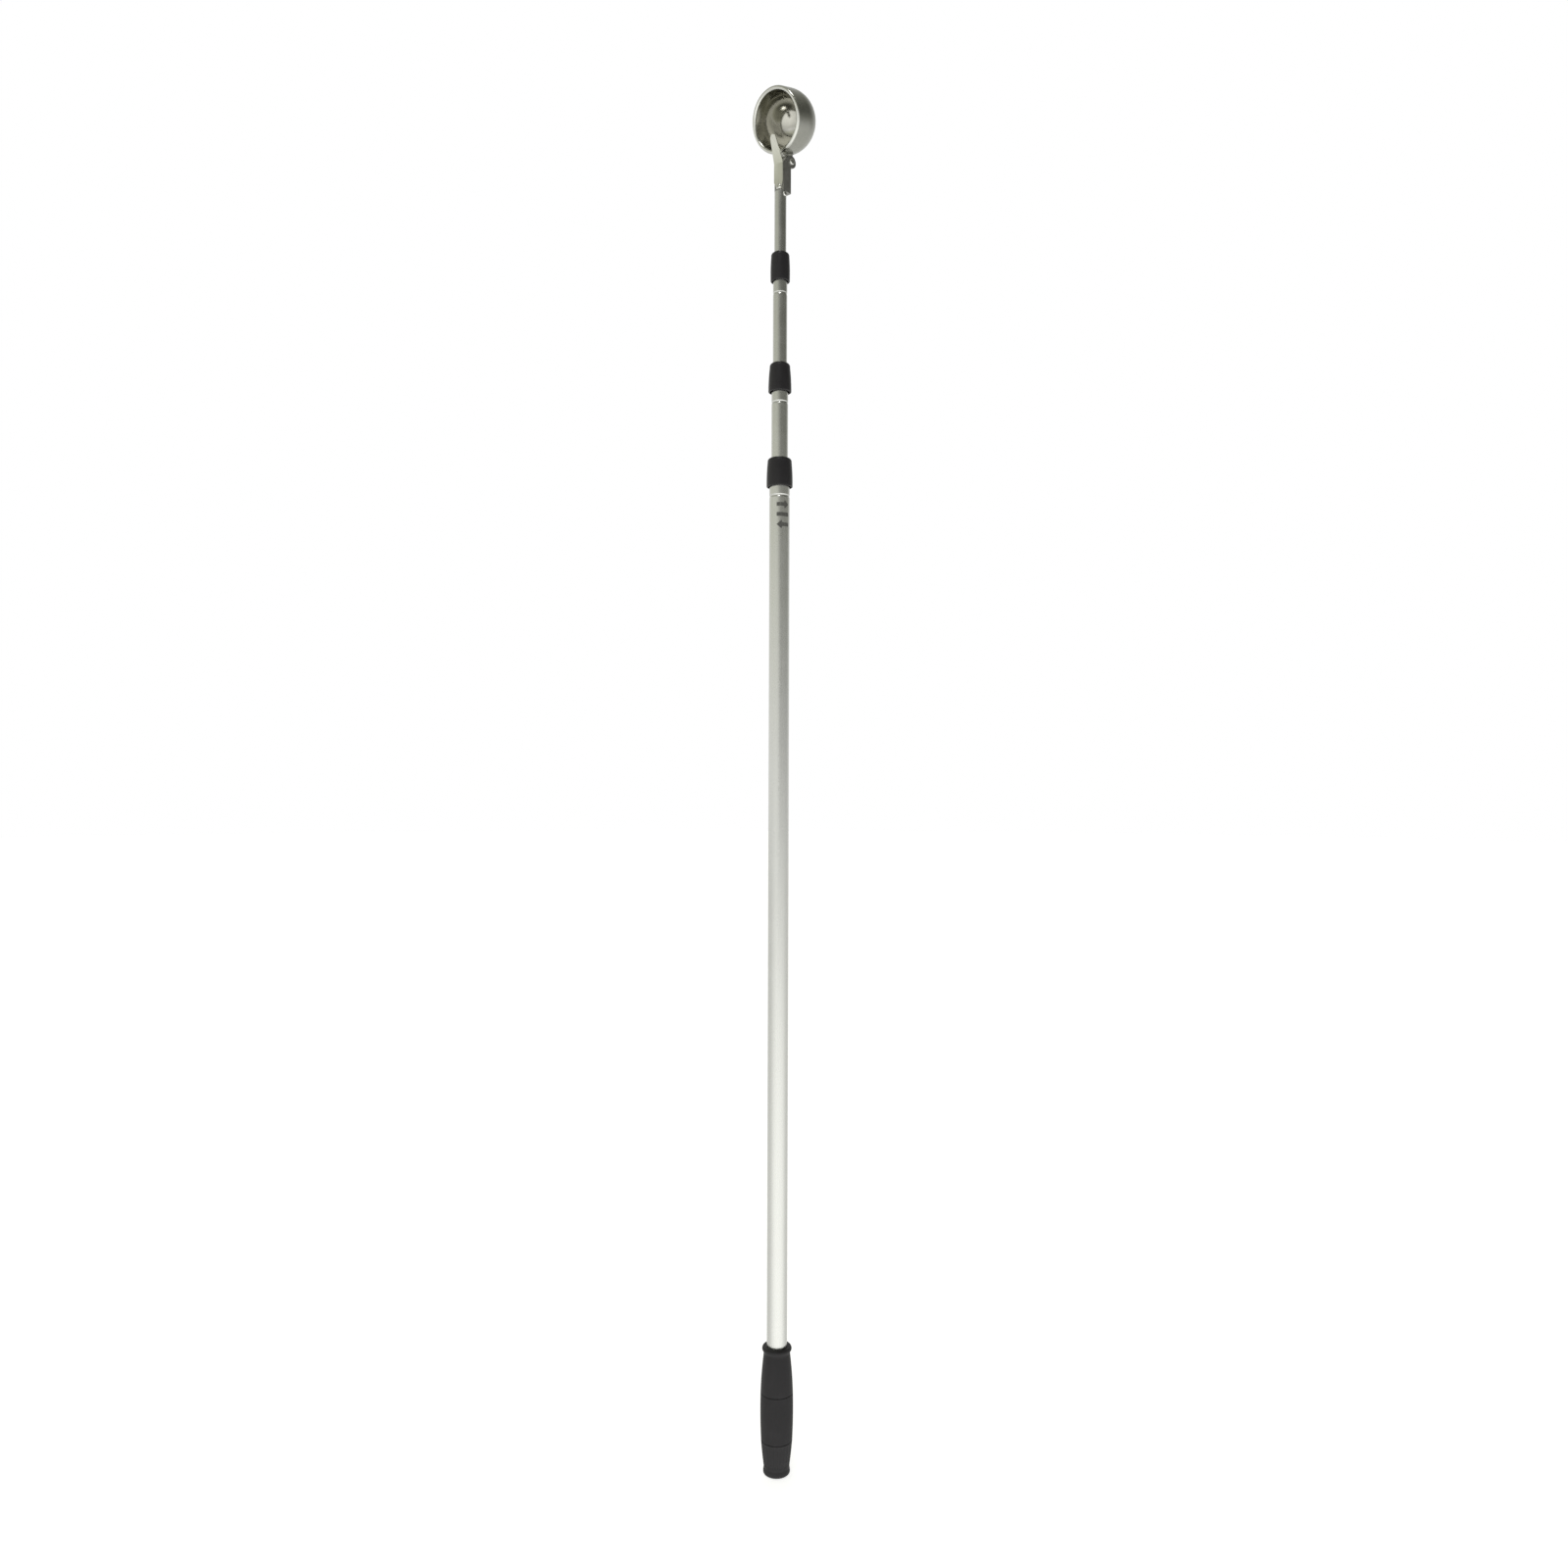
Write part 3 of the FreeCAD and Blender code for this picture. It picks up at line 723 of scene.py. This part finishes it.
WHITE_NYLON = MouldedPlastic("white_nylon_moulding", shade(0.78, 0.77, 0.72), shade(0.66, 0.65, 0.60))
PRINT_INK = MarkInk("dark_print_ink", shade(0.055, 0.055, 0.052), shade(0.30, 0.30, 0.27))


# ---------------------------------------------------------------- handle
@dataclass
class Grip:
    """Rubber grip: a bead at each end, two ring grooves and a fluted zone at the butt."""

    low_band: float = 28.5 * MM
    high_band: float = 68.0 * MM
    groove: float = 0.45 * MM
    bead: float = 2.4 * MM
    butt_neck: float = 5.8 * MM
    top_neck: float = 6.4 * MM
    top_bead: float = 1.9 * MM
    flutes: int = 24
    flute_margin: float = 0.45 * MM
    flute_depth: float = 0.28 * MM

    def build(self) -> None:
        """Makes the sleeve and dresses the plug inside it."""
        rubber = GripRubber(
            "matt_grip_rubber",
            shade(0.030, 0.028, 0.031),
            shade(0.017, 0.016, 0.018),
            self.low_band,
            self.high_band,
        )
        mesh = self.sleeve()
        self.cut_flutes(mesh)
        publish("rubber_grip", mesh, [rubber], "handle", ["grip_sleeve"])
        dress("butt_plug", WHITE_NYLON)

    def sleeve(self) -> bmesh.types.BMesh:
        """Draws the sleeve's section from its CAD node, and turns it.

        Returns:
            The sleeve, without its flutes.
        """
        gauge = Gauge("grip_sleeve")
        low, high = gauge.ends()
        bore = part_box("tube_1")[1].x
        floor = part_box("tube_1")[0].z

        def skin(height: float) -> tuple[float, float]:
            """The sleeve's outside at a height."""
            return gauge.outer(height), height

        def to(section: Outline, start: float, end: float, steps: int) -> None:
            """Follows the outside from one height to another."""
            section.curve(skin((start + end) / 2), skin(end), steps)

        section = Outline(0.0, low + 0.6 * MM)
        section.line(5.2 * MM, low + 0.6 * MM, 0.25 * MM)
        section.line(5.8 * MM, low, 0.2 * MM)
        section.line(skin(0.02 * MM)[0], low, 0.3 * MM)
        to(section, low + 0.02 * MM, self.bead, 6)
        to(section, self.bead, self.butt_neck, 6)
        section.line(*skin(self.butt_neck + 2.0 * MM))
        to(section, self.butt_neck + 2.0 * MM, self.low_band - 1.2 * MM, 8)
        section.line(*skin(self.low_band - self.groove), 0.15 * MM)
        to(section, self.low_band - self.groove, self.low_band + self.groove, 4)
        to(section, self.low_band + self.groove, self.high_band - self.groove, 16)
        to(section, self.high_band - self.groove, self.high_band + self.groove, 4)
        to(section, self.high_band + self.groove, high - self.top_neck, 12)
        to(section, high - self.top_neck, high - 3.4 * MM, 5)
        section.curve(skin(high - self.top_bead), (skin(high - 0.05 * MM)[0], high), 7, 0.2 * MM)
        section.line(bore, high, 0.25 * MM)
        section.line(bore, floor)
        section.line(0.0, floor)
        return section.turned(self.flutes * 6)

    def cut_flutes(self, mesh: bmesh.types.BMesh) -> None:
        """Sinks a shallow flute into each of the columns near the butt.

        Args:
            mesh: The sleeve, changed in place.
        """
        low, high = self.butt_neck + 2.0 * MM, self.low_band - 1.2 * MM
        columns: list[list[bmesh.types.BMFace]] = [[] for _ in range(self.flutes)]
        for face in mesh.faces:
            middle = face.calc_center_median()
            if low < middle.z < high and middle.xy.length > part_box("tube_1")[1].x + 1.0 * MM:
                turn = math.atan2(middle.y, middle.x) % math.tau
                columns[int(turn / math.tau * self.flutes)].append(face)
        for column in columns:
            bmesh.ops.inset_region(
                mesh,
                faces=column,
                thickness=self.flute_margin,
                depth=-self.flute_depth,
                use_boundary=True,
                use_even_offset=True,
            )


# ---------------------------------------------------------------- telescoping pole
@dataclass
class TubeSection:
    """One thin-walled tube with a rolled stop groove near its top."""

    number: int
    body: str
    bush: str | None
    groove_depth: float
    groove_half: float = 1.1 * MM
    bush_step: float = 1.3 * MM
    edge: float = 0.12 * MM

    def build(self) -> None:
        """Makes the tube in place of its CAD node."""
        node = f"tube_{self.number}"
        gauge = Gauge(node)
        low, high = gauge.ends()
        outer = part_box(node)[1].x
        inner = gauge.inner(low + 1.0 * MM)
        section = Outline(inner, low).line(outer, low, self.edge)
        if self.bush:
            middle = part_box(self.bush)[0].z - self.bush_step
            below, above = middle - self.groove_half, middle + self.groove_half
            section.line(outer, below, 0.3 * MM)
            section.curve((outer - self.groove_depth, middle), (outer, above), 8, 0.3 * MM)
        section.line(outer, high, self.edge).line(inner, high, self.edge)
        if self.bush:
            section.line(inner, above)
            section.curve((inner - self.groove_depth, middle), (inner, below), 8)
        mesh = section.close().turned()
        publish(f"drawn_tube_{self.number}", mesh, [TUBE_METAL], self.body, [node])


@dataclass
class Collar:
    """Moulded collar on a tube's end, round the next tube."""

    number: int
    body: str
    waist: float = 11.0 * MM
    dome: float = 3.4 * MM
    rim: float = 0.55 * MM

    def build(self) -> None:
        """Makes the collar and dresses its guide bush."""
        node = f"collar_{self.number}"
        bush = f"guide_bush_{self.number}"
        gauge = Gauge(node)
        low, high = gauge.ends()
        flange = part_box(bush)[1].z
        skirt = gauge.inner(low + 4.0 * MM)
        seat = gauge.inner(low + 12.0 * MM)
        lip = gauge.inner(high - 1.0 * MM)
        foot = gauge.outer(low + 0.8 * MM)
        shoulder = high - self.dome
        section = Outline(skirt, low)
        section.line(foot, low, self.rim)
        section.curve(
            (gauge.outer(low + self.waist), low + self.waist), (gauge.outer(shoulder), shoulder), 10, 0.5 * MM
        )
        brow = high - 1.5 * MM
        crown = high - 0.4 * MM
        section.curve((gauge.outer(brow), brow), (gauge.outer(crown), crown))
        section.line(lip + 0.3 * MM, high, 0.15 * MM)
        section.line(lip, high - 0.3 * MM)
        section.line(lip, flange)
        section.line(seat, flange)
        section.line(seat, low + 9.0 * MM)
        section.line(skirt, low + 8.2 * MM)
        mesh = section.close().turned()
        publish(f"moulded_collar_{self.number}", mesh, [COLLAR_PLASTIC], self.body, [node])
        dress(bush, WHITE_NYLON)


@dataclass
class TwistLock:
    """The lock inside a tube joint; its CAD nodes stay, with their own finishes."""

    number: int

    def dress(self) -> None:
        """Dresses the lock's four nodes."""
        dress(f"lock_screw_{self.number}", BLACK_NYLON)
        dress(f"wedge_nut_{self.number}", BLACK_NYLON)
        dress(f"expander_sleeve_{self.number}", WHITE_NYLON)
        dress(f"stud_clip_{self.number}", SPRING_METAL)


@dataclass
class TurnMark:
    """Printed twist-to-lock mark: two arrows that point opposite ways, with a bar between them."""

    facing: float = math.radians(-27.0)
    sweep: float = math.radians(74.0)
    bar: float = 3.2 * MM
    head: float = 7.4 * MM
    step: float = 8.4 * MM
    below_groove: float = 9.0 * MM
    ink: float = 0.02 * MM

    def build(self) -> None:
        """Makes the three marks as one thin printed piece."""
        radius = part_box("tube_1")[1].x + self.ink / 2
        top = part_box("guide_bush_3")[0].z - self.below_groove
        mesh = bmesh.new()
        self.strip(mesh, radius, top, 1)
        self.strip(mesh, radius, top - self.step, 0)
        self.strip(mesh, radius, top - 2 * self.step, -1)
        bmesh.ops.recalc_face_normals(mesh, faces=mesh.faces)
        bmesh.ops.solidify(mesh, geom=mesh.faces, thickness=self.ink)
        publish("turn_mark", mesh, [PRINT_INK], "handle")

    def strip(self, mesh: bmesh.types.BMesh, radius: float, height: float, pointing: int) -> None:
        """Adds a strip round the tube, which ends in an arrowhead unless pointing is 0.

        Args:
            mesh: The mark's mesh.
            radius: The tube's radius with half the ink.
            height: The strip's middle.
            pointing: 1 or -1 for an arrow's direction, 0 for a plain bar.
        """
        steps, head_steps = 24, 9
        start = self.facing - self.sweep / 2
        edge = [
            mesh.verts.new((radius * math.cos(start), radius * math.sin(start), height + side * self.bar / 2))
            for side in (-1.0, 1.0)
        ]
        before = set(mesh.verts) - set(edge)
        bmesh.ops.spin(
            mesh,
            geom=edge + [mesh.edges.new(edge)],
            cent=(0.0, 0.0, 0.0),
            axis=UP,
            angle=self.sweep,
            steps=steps,
            use_duplicate=False,
        )
        if not pointing:
            return
        for vert in set(mesh.verts) - before:
            turn = math.atan2(vert.co.y, vert.co.x) - start
            column = turn / self.sweep * steps
            ahead = steps - column if pointing > 0 else column
            if ahead < head_steps + 0.5:
                grown = self.head / self.bar * max(ahead, 0.05) / head_steps
                vert.co.z = height + (vert.co.z - height) * grown


# ---------------------------------------------------------------- head
@dataclass
class Head:
    """Block on the innermost tube, its retaining finger, and the fixings of both."""

    rounding: float = 0.22 * MM

    def build(self) -> None:
        """Makes the block and the finger, and dresses the fixings."""
        block = cad_copy("head_block", self.rounding)
        publish("cast_head_block", block, [BLOCK_METAL], "stage_4", ["head_block"])
        plate = cad_copy("finger", self.rounding)
        publish("retaining_finger", plate, [FINGER_METAL], "stage_4", ["finger"])
        dress("finger_screw", BRIGHT_METAL)
        dress("neck_rivet", BRIGHT_METAL)


@dataclass
class Hinge:
    """The cup's bracket, with its pin, clip, spring and rivets."""

    rounding: float = 0.16 * MM

    def build(self) -> None:
        """Makes the bracket and dresses the rest."""
        lug = cad_copy("hinge_lug", self.rounding)
        publish("hinge_bracket", lug, [LUG_METAL], "cup", ["hinge_lug"])
        dress("hinge_pin", BRIGHT_METAL)
        dress("lug_rivets", BRIGHT_METAL)
        dress("pin_clip", SPRING_METAL)
        dress("torsion_spring", SPRING_METAL)


@dataclass
class Cup:
    """Spun ball cup with a rolled lip, satin outside and polished inside."""

    lip: float = 1.7 * MM
    straight: float = 13.5 * MM
    steps: int = 160

    def build(self) -> None:
        """Makes the bowl from its CAD node's radii, along the axis that the ball seat gives."""
        seat = next(m for m in frame["record"]["mounts"] if m["name"] == "ball_seat")
        depth_way = -Vector(seat["axis"]).normalized()
        point = Vector(seat["pos_m"])
        mouth = point + depth_way * Gauge("cup_bowl", point, depth_way).ends()[0]
        gauge = Gauge("cup_bowl", mouth, depth_way)
        tilt = -math.atan2(depth_way.y, depth_way.z)
        mesh = self.bowl(gauge)
        inside = gauge.inner(self.straight)
        for face in mesh.faces:
            middle = face.calc_center_median()
            hollow = math.hypot(middle.x, middle.y, max(middle.z - self.straight, 0.0)) < inside + 0.2 * MM
            face.material_index = 2 if middle.z < self.lip else int(hollow)
        settle = Matrix.Translation(mouth) @ Matrix.Rotation(tilt, 4, "X")
        bmesh.ops.transform(mesh, matrix=settle, verts=mesh.verts)
        publish("spun_cup", mesh, self.finishes(mouth, tilt), "cup", ["cup_bowl"])

    def bowl(self, gauge: Gauge) -> bmesh.types.BMesh:
        """Turns the bowl with its mouth at the origin and its depth along +Z.

        Args:
            gauge: A gauge on the CAD bowl, from the middle of its mouth.

        Returns:
            The bowl.
        """
        outer = gauge.outer(self.straight)
        inner = gauge.inner(self.straight)
        bottom = gauge.ends()[1]
        wall = outer - inner
        slant = math.sqrt(0.5)
        lip_centre = outer - self.lip
        foot = self.lip + math.sqrt(self.lip**2 - (lip_centre - inner) ** 2)
        section = Outline(0.0, bottom - wall)
        section.curve(
            (slant * inner, self.straight + slant * inner),
            (inner, self.straight),
            20,
        )
        section.line(inner, foot, 0.25 * MM)
        section.curve((lip_centre - self.lip, self.lip), (lip_centre, 0.0), 12)
        section.curve(
            (lip_centre + slant * self.lip, self.lip * (1.0 - slant)),
            (outer, self.lip),
            8,
        )
        section.line(outer, self.straight)
        section.curve(
            (slant * outer, self.straight + slant * outer),
            (0.0, bottom),
            20,
        )
        return section.turned(self.steps)

    @staticmethod
    def finishes(mouth: Vector, tilt: float) -> list[Finish]:
        """The satin outside, the polished inside, whose light-and-dark clouds are partly painted reflections,
        and the bright rolled lip.

        Args:
            mouth: The middle of the mouth, where the rings count from.
            tilt: The turn about X of the cup's depth from upright.

        Returns:
            The three finishes, in the order of the faces' numbers.
        """
        outside = SpunMetal(
            "satin_cup_outside",
            shade(0.50, 0.505, 0.46),
            shade(0.32, 0.32, 0.29),
            tuple(mouth),
            tilt,
            roughness=0.30,
            spread=0.12,
            relief=0.2,
        )
        # Painted reflections: the inside's wide spread from dark to light turns its polishing clouds partly
        # into painted patches of reflected surroundings.
        inside = SpunMetal(
            "polished_cup_inside_painted_reflections",
            shade(0.66, 0.65, 0.59),
            shade(0.34, 0.335, 0.30),
            tuple(mouth),
            tilt,
            roughness=0.13,
            spread=0.05,
            relief=0.02,
        )
        lip = SpunMetal(
            "polished_cup_lip",
            shade(0.76, 0.76, 0.72),
            shade(0.58, 0.58, 0.54),
            tuple(mouth),
            tilt,
            roughness=0.20,
            spread=0.10,
            relief=0.1,
        )
        return [outside, inside, lip]


# ---------------------------------------------------------------- studio
class AirSide(Enum):
    """Brightness of the studio's walls by the sine of the height above the horizon."""

    BRIGHT = ((0.0, 1.0), (0.08, 0.83), (0.19, 0.69), (0.28, 0.58), (0.36, 0.50), (0.6, 0.44), (1.0, 0.5))
    DARK = ((0.0, 0.66), (0.08, 0.40), (0.19, 0.27), (0.28, 0.19), (0.36, 0.11), (0.6, 0.10), (1.0, 0.3))

    def stops(self) -> list[tuple[float, Colour]]:
        """Tints the wall: white at the floor, faintly olive above.

        Returns:
            The wall's colours by height.
        """
        found = []
        for place, value in self.value:
            olive = min(place / 0.2, 1.0)
            found.append((place, shade(value, value * (1.0 + 0.01 * olive), value * (1.0 - 0.13 * olive))))
        return found


@dataclass
class Studio:
    """Pale floor that glows with a painted pool of light, one soft light, walls that are bright on the left,
    and a level camera.
    """

    azimuth: float = math.radians(42.0)
    distance: float = 1.024
    height: float = 0.578
    sidestep: float = 4.5 * MM
    roll: float = math.radians(0.18)
    lens: float = 28.0
    sensor: float = 36.0

    def build(self) -> None:
        """Makes the camera, the air, the lights and the floor."""
        bpy.context.scene.view_settings.view_transform = "Standard"
        self.camera()
        self.air()
        self.floor()
        self.softbox("key_softbox", -0.22, 1.15, 2.6, 0.5, 7.0)

    def toward(self, right: float, front: float, height: float) -> Vector:
        """A place as the camera sees it.

        Args:
            right: Its distance right of the pole.
            front: Its distance in front of the pole.
            height: Its height.

        Returns:
            The same place in the scene.
        """
        a = self.azimuth
        side = Vector((math.cos(a), math.sin(a), 0.0))
        ahead = Vector((math.sin(a), -math.cos(a), 0.0))
        return side * right + ahead * front + UP * height

    def camera(self) -> None:
        """Puts up the camera and makes it the scene's."""
        data = bpy.data.cameras.new("level_camera")
        data.lens = self.lens
        data.sensor_width = self.sensor
        camera = bpy.data.objects.new("level_camera", data)
        level = Euler((math.pi / 2, 0.0, self.azimuth)).to_matrix().to_4x4()
        place = Matrix.Translation(self.toward(self.sidestep, self.distance, self.height))
        camera.matrix_world = place @ level @ Matrix.Rotation(self.roll, 4, "Z")
        bpy.context.scene.collection.objects.link(camera)
        bpy.context.scene.camera = camera

    def air(self) -> None:
        """Surrounds the scene with walls that are bright on the left, and white where they are seen."""
        world = bpy.data.worlds.new("studio_air")
        world.use_nodes = True
        bpy.context.scene.world = world
        graph = Graph(world.node_tree)
        way = graph.add("ShaderNodeTexCoord", output="Generated")
        left = graph.dot(way, self.toward(-1.0, 0.0, 0.0))
        behind = graph.dot(way, self.toward(0.0, -1.0, 0.0))
        height = graph.dot(way, UP)
        walls = {side: graph.ramp(height, side.stops()) for side in AirSide}
        overhang = graph.ease(height, 0.16, 0.40) * 0.5
        lit = graph.mix(graph.ease(left - overhang, -0.35, 0.35), walls[AirSide.DARK], walls[AirSide.BRIGHT])
        backed = graph.mix(graph.ease(behind, 0.2, 0.95), lit, shade(0.8, 0.8, 0.78))
        seen = graph.add("ShaderNodeLightPath", output="Is Camera Ray")
        colour = graph.mix(seen, backed, shade(1.0, 1.0, 1.0))
        background = graph.add("ShaderNodeBackground", None, {"Color": colour})
        graph.add("ShaderNodeOutputWorld", None, {"Surface": background})

    def floor(self) -> None:
        """Lays a wide pale floor under the butt; it glows evenly where the camera sees it, and with a painted
        pool of light, brightest in front of the pole and near it, in reflections and in the light that it
        throws on the object.
        """
        mesh = bmesh.new()
        bmesh.ops.create_circle(mesh, cap_ends=True, segments=96, radius=14.0)
        bmesh.ops.translate(mesh, vec=(0.0, 0.0, -0.2 * MM), verts=mesh.verts)
        data = bpy.data.meshes.new("pale_floor")
        mesh.to_mesh(data)
        mesh.free()
        paper = bpy.data.materials.new("pale_floor_painted_glow")
        paper.use_nodes = True
        graph = Graph(paper.node_tree)
        # Painted pool of light: the glow that reflections and the lit object get is brightest in front of the
        # pole and fades away from it.
        place = graph.place()
        reach = graph.add("ShaderNodeVectorMath", {"operation": "LENGTH"}, {0: place}, 1)
        facing = graph.math("DIVIDE", graph.dot(place, self.toward(0.17, 0.985, 0.0)), reach)
        pool_closeness = 1.0 - graph.ease(reach, 0.0, 6.0) * 0.7
        painted_glow = graph.ease(facing, -0.3, 1.1) * pool_closeness
        seen = graph.add("ShaderNodeLightPath", output="Is Camera Ray")
        # Painted light pool in the floor's glow, from grey far off to white in front of the pole; the camera
        # sees an even glow instead.
        painted_light_pool = graph.mix(painted_glow, shade(0.42, 0.42, 0.42), shade(1.0, 1.0, 0.99))
        graph.surface(
            {
                "Base Color": shade(0.82, 0.82, 0.82),
                "Roughness": 0.9,
                "Emission Color": graph.mix(seen, painted_light_pool, shade(0.74, 0.74, 0.735)),
                "Emission Strength": 1.0,
            }
        )
        data.materials.append(paper)
        floor = bpy.data.objects.new("pale_floor", data)
        bpy.context.scene.collection.objects.link(floor)

    def softbox(
        self, name: str, right: float, front: float, height: float, size: float, power: float
    ) -> None:
        """Hangs a square soft light that faces the pole's middle.

        Args:
            name: The light's name.
            right: Its distance right of the pole.
            front: Its distance in front of the pole.
            height: Its height.
            size: The length of its sides.
            power: Its power in watts.
        """
        data = bpy.data.lights.new(name, "AREA")
        data.size = size
        data.energy = power
        light = bpy.data.objects.new(name, data)
        place = self.toward(right, front, height)
        aim = UP * 0.6 - place
        light.matrix_world = Matrix.Translation(place) @ aim.to_track_quat("-Z", "Y").to_matrix().to_4x4()
        bpy.context.scene.collection.objects.link(light)


def main() -> None:
    """Builds every sub-assembly round the frame, then the studio."""
    logging.basicConfig(level=logging.INFO, format="%(name)s %(message)s")
    Grip().build()
    for section in (
        TubeSection(1, "handle", "guide_bush_3", 0.35 * MM),
        TubeSection(2, "stage_2", "guide_bush_2", 0.30 * MM),
        TubeSection(3, "stage_3", "guide_bush_1", 0.25 * MM),
        TubeSection(4, "stage_4", None, 0.0),
    ):
        section.build()
    for collar in (Collar(3, "handle"), Collar(2, "stage_2"), Collar(1, "stage_3")):
        collar.build()
    for number in (2, 3, 4):
        TwistLock(number).dress()
    TurnMark().build()
    Head().build()
    Hinge().build()
    Cup().build()
    Studio().build()


if __name__ == "__main__":
    main()
